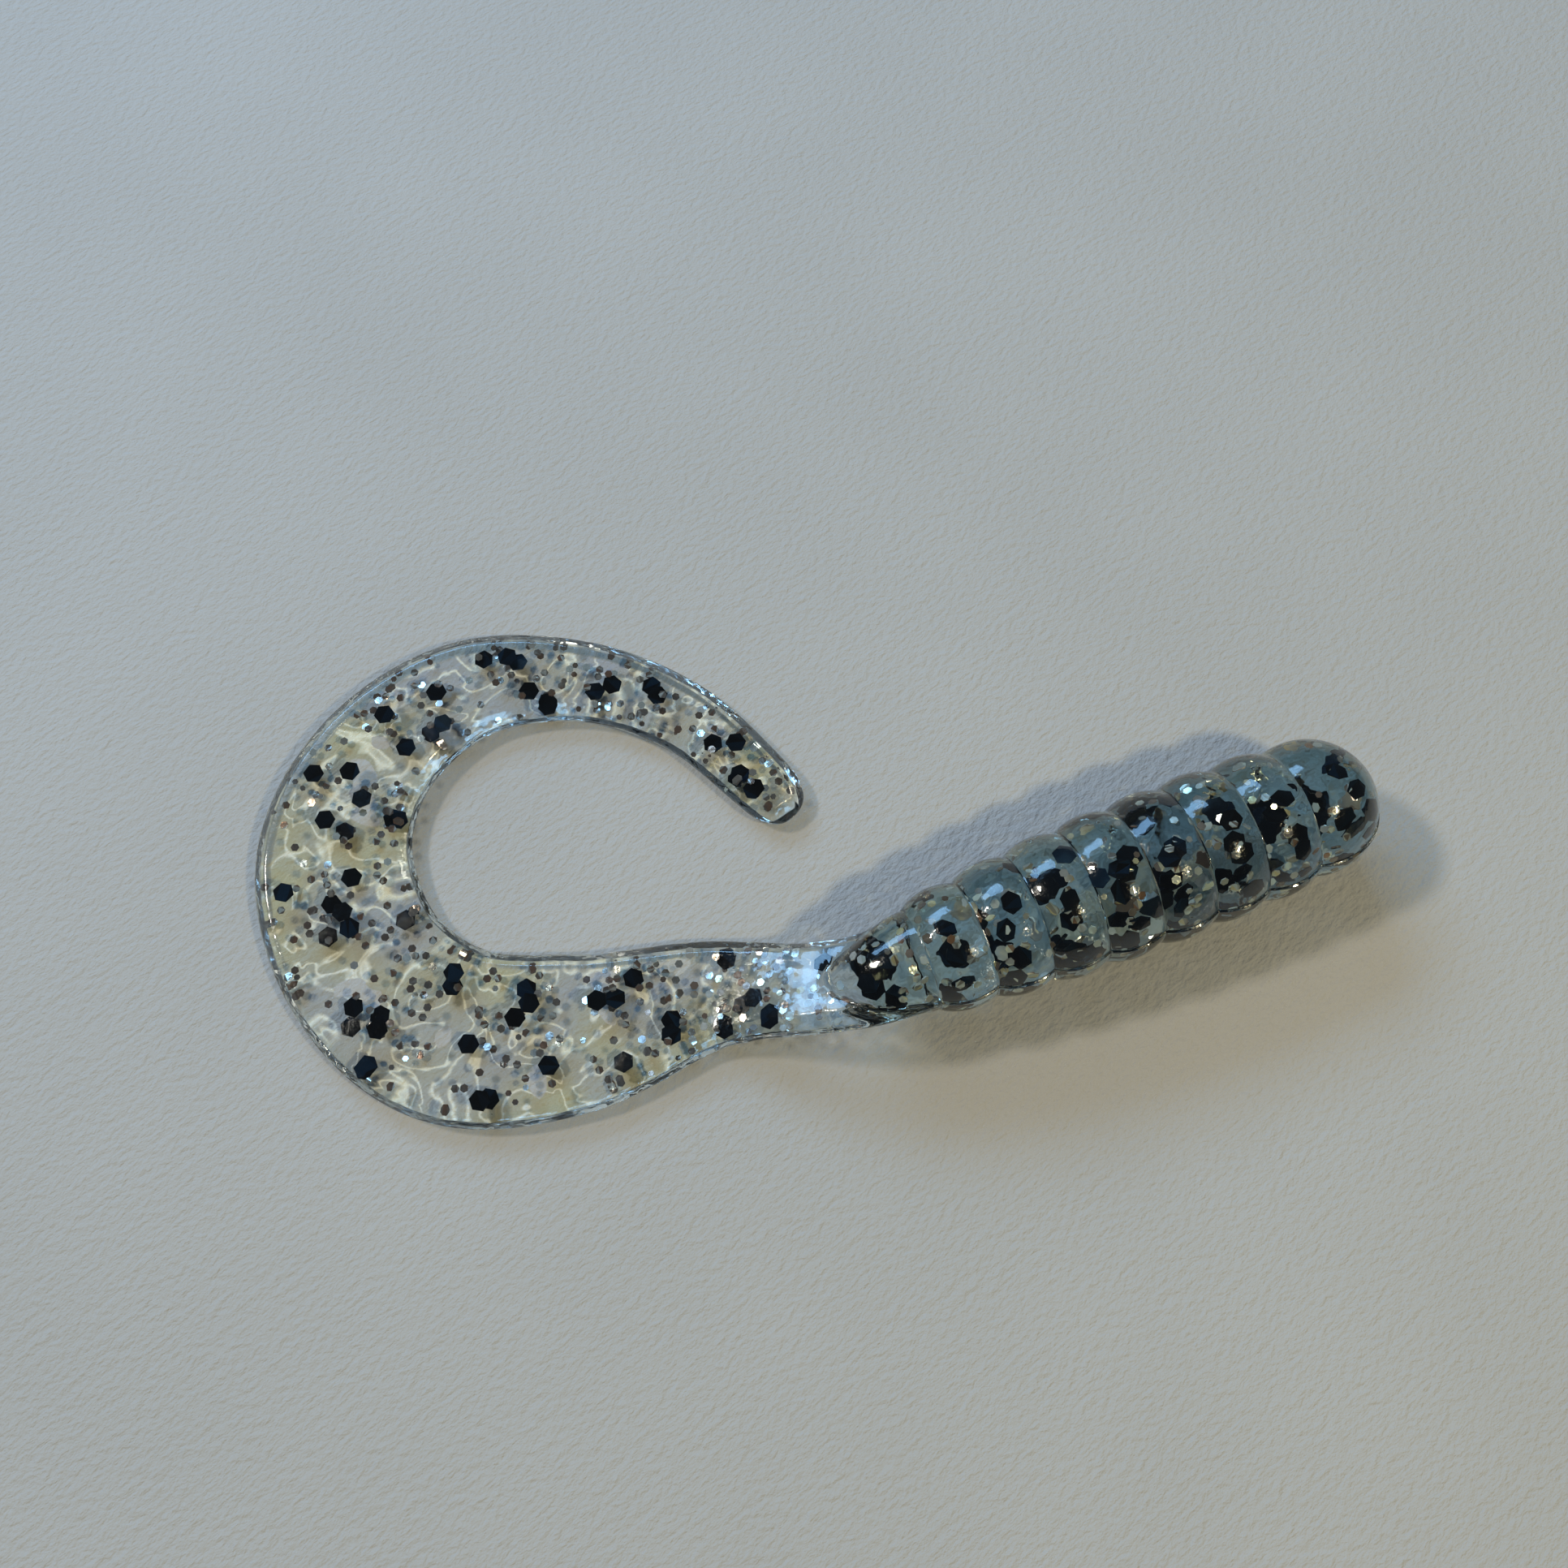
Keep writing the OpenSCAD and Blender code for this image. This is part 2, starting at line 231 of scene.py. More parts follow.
def flat_radius(t, angle):
    """Distance from the centreline to the tail's sloping-edged outline, at each angle."""
    wide = max(row(t)[WIDTH] / 2 * closing(t), THIN)
    share = min(1, to_end(t) / EDGE_SLOPE)
    land = EDGE_LAND / 2 * (TIP_LAND + (1 - TIP_LAND) * share)
    rise = (BLADE_T - EDGE_LAND) / 2 * max(share, THIN)
    run = min(EDGE_SLOPE * share, wide * SLOPE_LIMIT)
    across = np.maximum(np.abs(np.cos(angle)), 1e-6)
    up = np.maximum(np.abs(np.sin(angle)), 1e-6)
    slope = (rise * wide + run * land) / (rise * across + run * up)
    sides = [wide / across, (land + rise) / up, slope]
    return sum(s ** -float(SECTION_P) for s in sides) ** (-1 / SECTION_P)


def tail_radius(t, angle):
    """The flat of the tail together with the bullet that sinks into it."""
    flat = flat_radius(t, angle)
    bullet = GROOVE_R_TAIL * (1 - min(1, t / BULLET_END) ** BULLET_POWER)
    return (flat ** UNION_P + bullet ** UNION_P) ** (1 / UNION_P)


# ---------- the loops of the skin ----------

def resample(line, count, turn_share):
    """count + 1 points along a fine open line, closer together where it turns."""
    steps = np.diff(line, axis=0)
    lengths = np.linalg.norm(steps, axis=1)
    heading = steps / np.maximum(lengths, 1e-12)[:, None]
    turns = np.linalg.norm(np.diff(heading, axis=0), axis=1)
    turns = np.concatenate([[0], turns]) + 1e-9
    pace = (1 - turn_share) * lengths / lengths.sum() + turn_share * turns / turns.sum()
    done = np.concatenate([[0], np.cumsum(pace)])
    wanted = np.linspace(0, done[-1], count + 1)
    return np.column_stack([np.interp(wanted, done, line[:, i]) for i in range(line.shape[1])])


ANGLES = np.linspace(0, 2 * math.pi, FINE + 1)
BODY_OUT, BODY_UP = axes_for(np.array([-1.0, 0, 0]), TAIL_ROLL)


def loop_points(radius, centre, out, up):
    """AROUND points of a loop whose outline is radius at each of ANGLES, quarter by quarter."""
    outline = np.column_stack([radius * np.cos(ANGLES), radius * np.sin(ANGLES)])
    quarter = FINE // 4
    points = [resample(outline[q * quarter:(q + 1) * quarter + 1], AROUND // 4, TURN_SHARE)[:-1]
              for q in range(4)]
    points = np.concatenate(points)
    return centre + points[:, :1] * out + points[:, 1:] * up


def parting(r):
    """What the mould's parting line adds to a body loop of radius r."""
    off_line = np.abs(np.sin(ANGLES)) * r
    flash = FLASH_H * np.exp(-(off_line / FLASH_W) ** 2)
    shift = -MOULD_SHIFT / 2 * np.cos(ANGLES) * np.tanh(np.sin(ANGLES) * r / (FLASH_W / 2))
    return (flash + shift) * min(1, r / NOSE_FLAT_R) ** 2


def body_loop(x, r):
    """A loop of the round body, turned so that its parting line meets the tail's edges."""
    return loop_points(r + parting(r), np.array([x, 0, 0]), BODY_OUT, BODY_UP)


def waves(points, t):
    """The tail's points moved a little up or down, as the soft faces wander from flat."""
    centre, _, out, up = frame_at(t)
    fade = min(1, max(0, t - WAVES_FROM)) * min(1, to_end(t) / WAVES_STOP)
    moved = points.copy()
    for i, p in enumerate(points):
        v = (p - centre) @ up / (BLADE_T / 2)
        side = math.copysign(40, v)    # far apart, so that the two faces wave on their own
        slow = noise.noise(Vector((p[0] * SLOW_WAVE[1], p[1] * SLOW_WAVE[1], side)))
        ribs = noise.noise(Vector((t * RIBS_PER_ROW, (p - centre) @ out * RIB_WAVE[1], side + 9)))
        moved[i] += up * WAVE_H * fade * abs(v) * (SLOW_WAVE[0] * slow + RIB_WAVE[0] * ribs)
    return moved


def nose_profile():
    """The broken gate and the flat of the nose, as x and radius from the axis outward."""
    r = np.linspace(THIN, NOSE_FLAT_R * NOSE_FLAT_TO, NOSE_FINE)
    gate = GATE_H / (1 + np.exp((r - GATE_R) / GATE_EDGE))
    gate += GATE_RAGGED * np.sin(9 * r) * (r < GATE_R)
    rim = -NOSE_RIM * (r / NOSE_FLAT_R) ** NOSE_RIM_POWER
    return resample(np.column_stack([gate + rim, r]), NOSE_LOOPS, NOSE_TURN_SHARE)


def body_profile():
    """The body's outline behind the flat of the nose, as x and radius."""
    x = np.linspace(-NOSE_RIM, TAIL_X, PROFILE_FINE)
    return np.column_stack([x, body_radius(x)])


def tail_loop(t):
    centre, _, out, up = frame_at(t)
    return waves(loop_points(tail_radius(t, ANGLES), centre, out, up), t)


def add_nose(loops):
    for x, r in nose_profile():
        off = GATE_OFF * max(0, 1 - r / NOSE_FLAT_R)
        loops.append(body_loop(x, r) - [0, off, 0])


def add_body(loops, seams):
    """The head, the rings and the start of the bullet, with a seam at the middle of each."""
    profile = body_profile()
    marks = [-HEAD_L / 2] + [groove_x(k - 0.5) for k in range(1, RINGS + 1)] + [TAIL_X]
    last = len(marks) - 1
    start = 0
    for n, mark in enumerate(marks):
        stop = int(np.argmin(np.abs(profile[:, 0] - mark)))
        count = {0: HEAD_LOOPS, last: CONE_LOOPS}.get(n, RING_LOOPS)
        part = resample(profile[start:stop + 1], count, BODY_TURN_SHARE)[0 if n == 0 else 1:]
        loops += [body_loop(x, r) for x, r in part]
        if n < last:
            seams.append(len(loops) - 1)
        start = stop


def add_tail(loops, seams):
    """The bullet's end and the flat of the tail, with a seam half-way between each two cuts."""
    rows = [0, *CUT_ROWS, LAST_ROW]
    t_from = 0.0
    for t_to in [(a + b) / 2 for a, b in zip(rows, rows[1:])]:
        count = max(8, round(np.linalg.norm(spot(t_to) - spot(t_from)) / TAIL_STEP))
        for t in np.linspace(t_from, t_to, count + 1)[0 if t_from == 0 else 1:]:
            loops.append(tail_loop(t))
        seams.append(len(loops) - 1)
        t_from = t_to
    round_from = LAST_ROW - TIP_ROUND
    straight = np.linspace(t_from, round_from, TIP_STRAIGHT)[1:]
    rounding = round_from + TIP_ROUND * np.sin(np.linspace(0, math.pi / 2, TIP_CURVED)[1:-1])
    end = LAST_ROW - TIP_ROUND * VERY_END
    loops += [tail_loop(t) for t in [*straight, *rounding, end]]
    seams.append(len(loops) - 1)


def stations():
    """Every loop of the skin in order from the nose, and the loops at which the pieces meet."""
    loops, seams = [], [0]
    add_nose(loops)
    add_body(loops, seams)
    add_tail(loops, seams)
    return np.array(loops), seams


def grid_normals(loops, poles):
    """A smooth normal at every point of the whole skin, so that no seam shows between pieces."""
    around = np.roll(loops, -1, axis=1) - np.roll(loops, 1, axis=1)
    padded = np.concatenate([np.broadcast_to(poles[0], loops[:1].shape), loops,
                             np.broadcast_to(poles[1], loops[:1].shape)])
    along = padded[2:] - padded[:-2]
    normals = np.cross(around, along)
    return normals / np.maximum(np.linalg.norm(normals, axis=2), 1e-15)[:, :, None]


def skin_piece(name, loops, normals, pole=None, pole_first=True):
    """A tube through the loops, closed at one end if it has a pole."""
    count = len(loops)
    verts = loops.reshape(-1, 3)
    shades = normals.reshape(-1, 3)
    sides = [(a, (a + 1) % AROUND) for a in range(AROUND)]
    faces = [(j * AROUND + a, j * AROUND + b, (j + 1) * AROUND + b, (j + 1) * AROUND + a)
             for j in range(count - 1) for a, b in sides]
    if pole is not None:
        last = len(verts)
        verts = np.vstack([verts, pole])
        edge = 0 if pole_first else (count - 1) * AROUND
        facing = loops[0].mean(0) - loops[-1].mean(0)
        shades = np.vstack([shades, unit(facing if pole_first else -facing)])
        faces += [(last, edge + b, edge + a) if pole_first else (last, edge + a, edge + b)
                  for a, b in sides]
    mesh = bpy.data.meshes.new(name)
    mesh.from_pydata((verts * MM).tolist(), [], faces)
    mesh.polygons.foreach_set("use_smooth", [True] * len(mesh.polygons))
    mesh.normals_split_custom_set_from_vertices(shades.tolist())
    piece = bpy.data.objects.new(name, mesh)
    bpy.context.scene.collection.objects.link(piece)
    return piece


# ---------- materials ----------

# How bright light is along the thin lines where a wavy surface gathers it
GATHERED = (1.75, 1.75, 1.6)
PAPER_TONES = [(0.70, 0.69, 0.665), (0.735, 0.725, 0.70)]
BLACK, WHITE = (0, 0, 0), (1, 1, 1)


class Nodes:
    """Short calls for building one material's nodes."""

    def __init__(self, name):
        self.material = bpy.data.materials.new(name)
        self.material.use_nodes = True
        self.tree = self.material.node_tree
        self.tree.nodes.clear()
        self.output = self.add("ShaderNodeOutputMaterial")

    def add(self, kind, values=None, **settings):
        node = self.tree.nodes.new(kind)
        for key, value in settings.items():
            setattr(node, key, value)
        for key, value in (values or {}).items():
            node.inputs[key].default_value = value
        return node

    def link(self, source, target):
        self.tree.links.new(source, target)

    def place(self):
        """Coordinates fixed to the object, in metres."""
        return self.add("ShaderNodeTexCoord").outputs["Object"]

    def noise(self, scale, detail=3.0, vector=None, roughness=0.5, distortion=0.0):
        values = {"Scale": scale, "Detail": detail, "Roughness": roughness, "Distortion": distortion}
        node = self.add("ShaderNodeTexNoise", values)
        self.link(vector or self.place(), node.inputs["Vector"])
        return node.outputs["Fac"]

    def ramp(self, factor, stops):
        """factor turned into colours, through stops of a position and a colour."""
        node = self.add("ShaderNodeValToRGB")
        points = node.color_ramp.elements
        while len(points) < len(stops):
            points.new(0.5)
        for point, (position, colour) in zip(points, stops):
            point.position = position
            point.color = (*colour, 1)
        self.link(factor, node.inputs["Fac"])
        return node.outputs["Color"]

    def mix(self, factor, low, high):
        """low where factor is 0 and high where it is 1. Each is a colour or an output."""
        node = self.add("ShaderNodeMix", data_type="RGBA")
        self.link(factor, node.inputs["Factor"])
        for socket, value in ((node.inputs[6], low), (node.inputs[7], high)):
            if isinstance(value, tuple):
                socket.default_value = (*value, 1)
            else:
                self.link(value, socket)
        return node.outputs[2]

    def upward(self):
        """White on faces that look straight up or down, black on slopes and edges."""
        split = self.add("ShaderNodeSeparateXYZ")
        self.link(self.add("ShaderNodeNewGeometry").outputs["True Normal"], split.inputs["Vector"])
        up = self.add("ShaderNodeMath", operation="ABSOLUTE")
        self.link(split.outputs["Z"], up.inputs[0])
        return self.ramp(up.outputs["Value"], [(0.80, BLACK), (0.97, WHITE)])

    def bump(self, height, strength, distance):
        node = self.add("ShaderNodeBump", {"Strength": strength, "Distance": distance})
        self.link(height, node.inputs["Height"])
        return node.outputs["Normal"]


def plastisol(name, face_tints_and_light, edge_tint, face_shades, edge_shade, ripple, zone, glow):
    """Clear glossy soft plastic, tinted a little deeper on its slopes and edges than on its faces. The tint
    of the faces drifts at random; on the tail it drifts between pale blue and pale yellow, partly as
    painted patches of gathered light.

    Light on its way to the table is dimmed once, where it enters, in soft uneven patches, and is
    brighter along thin lines, as the wavy surface gathers it here and spreads it there. Light for
    the glitter inside isn't dimmed.
    """
    m = Nodes(name)
    skin = m.add("ShaderNodeBsdfPrincipled", {
        "Roughness": 0.03, "IOR": 1.48, "Transmission Weight": 1.0, "Specular IOR Level": 0.5,
        "Coat Weight": 0.4, "Coat Roughness": 0.15, "Coat IOR": 1.48})
    facing = m.upward()
    # the faces' tint drifts in patches: uneven tint, and on the tail also painted pale blue and pale yellow
    # patches of gathered light
    tint_and_light_drift = m.ramp(m.noise(210, 2.5, distortion=1.2), face_tints_and_light)
    m.link(m.mix(facing, edge_tint, tint_and_light_drift), skin.inputs["Base Color"])
    m.link(m.bump(m.noise(700, 2.0), ripple, 0.0003), skin.inputs["Normal"])
    m.link(m.bump(m.noise(5000, 2.0), 0.35, 0.00006), skin.inputs["Coat Normal"])
    pools = m.ramp(m.noise(zone, 1.5, distortion=1.2), face_shades)
    lines = m.ramp(m.noise(300, 1.5, distortion=1.6),
                   [(0.465, BLACK), (0.5, (glow,) * 3), (0.535, BLACK)])
    shade = m.mix(facing, edge_shade, m.mix(lines, pools, GATHERED))
    inside = m.add("ShaderNodeNewGeometry").outputs["Backfacing"]
    clear = m.add("ShaderNodeBsdfTransparent")
    m.link(m.mix(inside, shade, WHITE), clear.inputs["Color"])
    shader = skin.outputs["BSDF"]
    # Light that reaches the glitter or the table passes straight through
    for kind in ("Is Shadow Ray", "Is Diffuse Ray"):
        path = m.add("ShaderNodeLightPath")
        mix = m.add("ShaderNodeMixShader")
        m.link(path.outputs[kind], mix.inputs["Fac"])
        m.link(shader, mix.inputs[1])
        m.link(clear.outputs["BSDF"], mix.inputs[2])
        shader = mix.outputs["Shader"]
    m.link(shader, m.output.inputs["Surface"])
    return m.material


def film(name, colours, metallic, roughness, ior):
    """Glitter film: every flake takes its own colour from the list, and its gloss is faintly uneven. In the
    silver films, and at the blue end of the black one, the list holds painted glints, a painted reflection
    and painted shade as well as the film's own colours.
    """
    m = Nodes(name)
    flake = m.add("ShaderNodeBsdfPrincipled", {"Metallic": metallic, "IOR": ior})
    each = m.add("ShaderNodeNewGeometry").outputs["Random Per Island"]
    m.link(m.ramp(each, colours), flake.inputs["Base Color"])
    scuffs = m.noise(5200, 3.0)
    low, high = roughness
    m.link(m.ramp(scuffs, [(0.3, (low,) * 3), (0.75, (high,) * 3)]), flake.inputs["Roughness"])
    m.link(m.bump(scuffs, 0.12, 0.00004), flake.inputs["Normal"])
    m.link(flake.outputs["BSDF"], m.output.inputs["Surface"])
    return m.material


def paper():
    """Matt white paper with a fine grain that runs a little longer one way."""
    m = Nodes("paper")
    sheet = m.add("ShaderNodeBsdfPrincipled", {"Roughness": 0.85, "Specular IOR Level": 0.2})
    grain_way = m.add("ShaderNodeMapping", {"Rotation": (0, 0, math.radians(17)), "Scale": (1.6, 1, 1)},
                      vector_type="TEXTURE")
    m.link(m.place(), grain_way.inputs["Vector"])
    grain = m.noise(2700, 3.0, grain_way.outputs["Vector"], 0.6)
    tone = m.noise(45, 3.0)
    m.link(m.ramp(tone, [(0.35, PAPER_TONES[0]), (0.65, PAPER_TONES[1])]), sheet.inputs["Base Color"])
    m.link(m.bump(grain, 0.75, 0.0002), sheet.inputs["Normal"])
    m.link(sheet.outputs["BSDF"], m.output.inputs["Surface"])
    return m.material


BODY_SKIN = plastisol(
    "body plastisol",
    face_tints_and_light=[(0.35, (0.62, 0.77, 0.68)), (0.65, (0.85, 0.94, 0.85))], edge_tint=(0.58, 0.68, 0.57),
    face_shades=[(0.35, (0.16, 0.18, 0.18)), (0.55, (0.30, 0.34, 0.34)), (0.7, (0.6, 0.6, 0.56))],
    edge_shade=(0.11, 0.12, 0.13), ripple=0.32, zone=330, glow=0.4)
# the tail's face tints run from pale blue to pale yellow: partly uneven tint, partly painted patches of
# gathered light
TAIL_SKIN = plastisol(
    "tail plastisol",
    face_tints_and_light=[(0.38, (0.95, 0.97, 0.99)), (0.5, (0.97, 0.98, 0.94)), (0.62, (0.99, 0.98, 0.86))],
    edge_tint=(0.90, 0.96, 0.92),
    face_shades=[(0.38, (0.76, 0.79, 0.87)), (0.5, (0.82, 0.82, 0.78)), (0.62, (0.90, 0.87, 0.66))],
    edge_shade=(0.34, 0.37, 0.38), ripple=0.28, zone=95, glow=1.0)
# the faint blue at the end of the black film's list is a painted dark blue reflection on some flakes
BLACK_FILM = film("black glitter film",
                  [(0.0, (0.002, 0.002, 0.002)), (0.7, (0.003, 0.005, 0.008)), (1.0, (0.004, 0.014, 0.03))],
                  metallic=0.0, roughness=(0.08, 0.2), ior=1.12)
# The body's silver film and the tail's are one film, in a lit and a shaded copy. The body's list is mostly
# bright: its white, cyan-white and gold stops are painted glints of the lights, and its browns are partly
# the film's own colour and partly painted shade.
LIT_SILVER_WITH_GLINTS = film("silver glitter film in the body, lit, with painted glints",
                   [(0.0, (0.42, 0.22, 0.13)), (0.1, (0.30, 0.22, 0.18)), (0.25, (0.42, 0.40, 0.38)),
                    (0.45, (0.70, 0.70, 0.66)), (0.65, (0.92, 0.94, 0.90)), (0.85, (0.85, 0.96, 0.98)),
                    (0.93, (0.95, 0.82, 0.48)), (1.0, (0.98, 0.88, 0.60))],
                   metallic=0.6, roughness=(0.06, 0.18), ior=1.5)
# The tail's copy is the shaded one: mostly painted dark brown-grey shade, with a few painted cyan-white
# glints.
SHADED_SILVER = film("silver glitter film in the tail, shaded",
                   [(0.0, (0.34, 0.20, 0.14)), (0.3, (0.24, 0.19, 0.16)), (0.6, (0.30, 0.28, 0.26)),
                    (0.76, (0.50, 0.49, 0.46)), (0.88, (0.80, 0.86, 0.86)), (1.0, (0.80, 0.95, 0.98))],
                   metallic=0.75, roughness=(0.06, 0.18), ior=1.5)


# ---------- glitter ----------

BLACK_AF, SILVER_AF, FLAKE_T = 1.0, 0.4, 0.06    # across the flats of each kind, and how thick
SMALL_SHARE = 0.75      # size of the smaller silver flakes, one in three
FIRST_SEED = 100
# How many more black and silver flakes the head and each ring take
EXTRA_BLACK = [3, 2, 4, 5, 5, 3, 1, 0]
EXTRA_SILVER = [36, 34, 32, 32, 32, 32, 34, 34]
# The same for the bullet, the neck, the blade next to the neck and each piece after it
BULLET_EXTRA, NECK_EXTRA, FIRST_BLADE_EXTRA, BLADE_EXTRA = (1, 38), (0, 44), (0, 26), (0, 14)
FLAT_FROM = 1.35        # the row where the bullet has sunk into the flat of the tail
# How far the facing of a flake strays in each part
BODY_STRAY, BULLET_STRAY, TAIL_STRAY = 0.42, 0.35, 0.08
EDGE_CLEAR = 0.45       # how far flakes keep from the tail's outline
TAIL_DEPTH = 0.5        # how far above and below the middle of the tail they go
BODY_DEPTH = 0.7        # how far in they go in the body, as a share of its radius
BULLET_ROWS = (0.05, 2.2)
TRIES = 12              # places tried for each flake that is wanted
NOSE_CLEAR, GROOVE_CLEAR = 0.8, 0.15
NECK_CLEAR, CUT_CLEAR, TIP_CLEAR = 0.05, 0.03, 0.5    # in rows of the route
# The small flakes of the neck, and of the blade next to it, lean together as the plastic flowed
NECK_LEAN, BLADE_LEAN, NO_LEAN = (0.10, 0.08, 0), (-0.02, 0.20, 0), (0, 0, 0)


def flake_spots(node):
    """The middle of each flake in a CAD node, in millimetres."""
    mesh = frame["nodes"][node].data
    co = np.array([v.co for v in mesh.vertices]) / MM
    merged = {}
    ids = [merged.setdefault(tuple(np.round(c, 3)), len(merged)) for c in co]
    group = list(range(len(merged)))

    def find(a):
        while group[a] != a:
            group[a] = group[group[a]]
            a = group[a]
        return a

    for face in mesh.polygons:
        first = find(ids[face.vertices[0]])
        for v in face.vertices[1:]:
            group[find(ids[v])] = first
    places = {}
    for point, index in merged.items():
        places.setdefault(find(index), []).append(point)
    return [np.mean(p, axis=0) for p in places.values()]


def hexagon(centre, normal, spin, across):
    """Corners and faces of one thin six-sided flake."""
    side = unit(np.cross(normal, [0.3, 0.5, 0.81]))
    other = np.cross(normal, side)
    turns = spin + np.arange(6) * math.pi / 3
    rim = (np.cos(turns)[:, None] * side + np.sin(turns)[:, None] * other) * across / math.sqrt(3)
    half = normal * FLAKE_T / 2
    corners = np.concatenate([centre + rim + half, centre + rim - half])
    faces = [tuple(range(6)), tuple(range(11, 5, -1))]
    faces += [(i, i + 6, (i + 1) % 6 + 6, (i + 1) % 6) for i in range(6)]
    return corners, faces


def in_body(rng, x0, x1, across):
    """A random place and facing for a flake inside the body between x0 and x1."""
    x = rng.uniform(x0, x1)
    room = float(body_radius(np.array([x]))[0]) - across * 0.5
    r = room * (1 - BODY_DEPTH * rng.random() ** 2)
    a = rng.uniform(0, 2 * math.pi)
    outward = np.array([0, math.cos(a), math.sin(a)])
    normal = unit(outward + rng.normal(0, BODY_STRAY, 3))
    return np.array([x, 0, 0]) + outward * r, normal


def in_tail(rng, t0, t1, across, lean):
    """A random place for a flake in the tail between t0 and t1, lying nearly flat but for lean."""
    t = rng.uniform(t0, t1)
    centre, _, out, up = frame_at(t)
    room = row(t)[WIDTH] / 2 - EDGE_CLEAR - across / 2
    u = rng.uniform(-room, room)
    v = rng.uniform(-TAIL_DEPTH, TAIL_DEPTH)
    normal = unit(up + np.array(lean) + rng.normal(0, TAIL_STRAY, 3))
    return centre + out * u + up * v, normal


def in_bullet(rng, across):
    """A random place and facing for a flake in the bullet-shaped end of the body."""
    t = rng.uniform(*BULLET_ROWS)
    if t > FLAT_FROM:
        return in_tail(rng, FLAT_FROM, CUT_ROWS[0] - 2 * CUT_CLEAR, across, NECK_LEAN)
    centre, _, out, up = frame_at(t)
    bullet_r = GROOVE_R_TAIL * (1 - (t / BULLET_END) ** BULLET_POWER)
    room = max(bullet_r, BLADE_T / 2) - across * 0.6
    a = rng.uniform(0, 2 * math.pi)
    outward = math.cos(a) * out + math.sin(a) * up
    place = centre + outward * room * rng.uniform(0.5, 1)
    return place, unit(outward + rng.normal(0, BULLET_STRAY, 3))


def extra_flakes(host, black, silver, place, seed, silver_film):
    """More flakes between those of the CAD nodes of one body, clear of them and of each other."""
    rng = np.random.default_rng(seed)
    taken = [(p, BLACK_AF) for p in flake_spots("black_flakes_" + host)]
    taken += [(p, SILVER_AF) for p in flake_spots("silver_flakes_" + host)]
    verts, faces, slots = [], [], []
    for kind, wanted, size in ((0, black, BLACK_AF), (1, silver, SILVER_AF)):
        made = 0
        for _ in range(wanted * TRIES):
            if made == wanted:
                break
            across = size * (1 if kind == 0 else rng.choice([1, 1, SMALL_SHARE]))
            centre, normal = place(rng, across)
            if any(np.linalg.norm(centre - p) < (across + other) * 0.5 for p, other in taken):
                continue
            taken.append((centre, across))
            corners, sides = hexagon(centre, normal, rng.uniform(0, math.pi), across)
            faces += [tuple(i + len(corners) * len(slots) for i in side) for side in sides]
            verts.append(corners)
            slots.append(kind)
            made += 1
    mesh = bpy.data.meshes.new("fine_glitter_" + host)
    mesh.from_pydata((np.concatenate(verts) * MM).tolist(), [], faces)
    mesh.materials.append(BLACK_FILM)
    mesh.materials.append(silver_film)
    sides_each = len(faces) // len(slots)
    mesh.polygons.foreach_set("material_index", np.repeat(slots, sides_each).tolist())
    piece = bpy.data.objects.new("fine_glitter_" + host, mesh)
    bpy.context.scene.collection.objects.link(piece)
    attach(piece, host)


# ---------- the object ----------

HOSTS = (["head"] + ["ring_%d" % k for k in range(1, RINGS + 1)] + ["tail_cone", "tail_neck"]
         + ["tail_blade_%d" % k for k in range(1, len(CUT_ROWS) - 1)] + ["tail_tip"])
TAIL_FROM = HOSTS.index("tail_cone")


def skin_name(n, last):
    if n in (0, last):
        return "skin_nose" if n == 0 else "skin_tip"
    return "skin_" + HOSTS[n - 1] + "_to_" + HOSTS[n]


def bend(piece, parent, child, first_loop, last_loop):
    """Finds the joint between parent and child, asserts that the piece's first loop lies wholly before its
    last along the piece, and bakes the piece's place into its mesh; the piece is not attached to either
    body.
    """
    joint = next(j for j in frame["joints"] if (j["parent"], j["child"]) == (parent, child))
    pivot = np.array(joint["pos_m"]) / MM
    way = unit(last_loop.mean(axis=0) - first_loop.mean(axis=0))
    begin = float(((first_loop - pivot) @ way).max())
    stop = float(((last_loop - pivot) @ way).min())
    assert begin < stop, piece.name
    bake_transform(piece)


def make_skin():
    """The nose rides on the head and the tip on tail_tip; each piece between reaches across one joint and
    stays unattached, and the CAD node of that joint's child is hidden.
    """
    loops, seams = stations()
    poles = [loops[0].mean(axis=0), loops[-1].mean(axis=0)]
    normals = grid_normals(loops, poles)
    last = len(seams) - 2
    for n in range(last + 1):
        cut = slice(seams[n], seams[n + 1] + 1)
        ends = {0: (poles[0], True), last: (poles[1], False)}.get(n, (None, True))
        piece = skin_piece(skin_name(n, last), loops[cut], normals[cut], *ends)
        in_tail_part = n > TAIL_FROM
        piece.data.materials.append(TAIL_SKIN if in_tail_part else BODY_SKIN)
        if n == 0:
            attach(piece, HOSTS[0])
            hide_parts(HOSTS[0])
        elif n == last:
            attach(piece, HOSTS[-1])
        else:
            parent, child = HOSTS[n - 1], HOSTS[n]
            bend(piece, parent, child, loops[seams[n]], loops[seams[n + 1]])
            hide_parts(child)


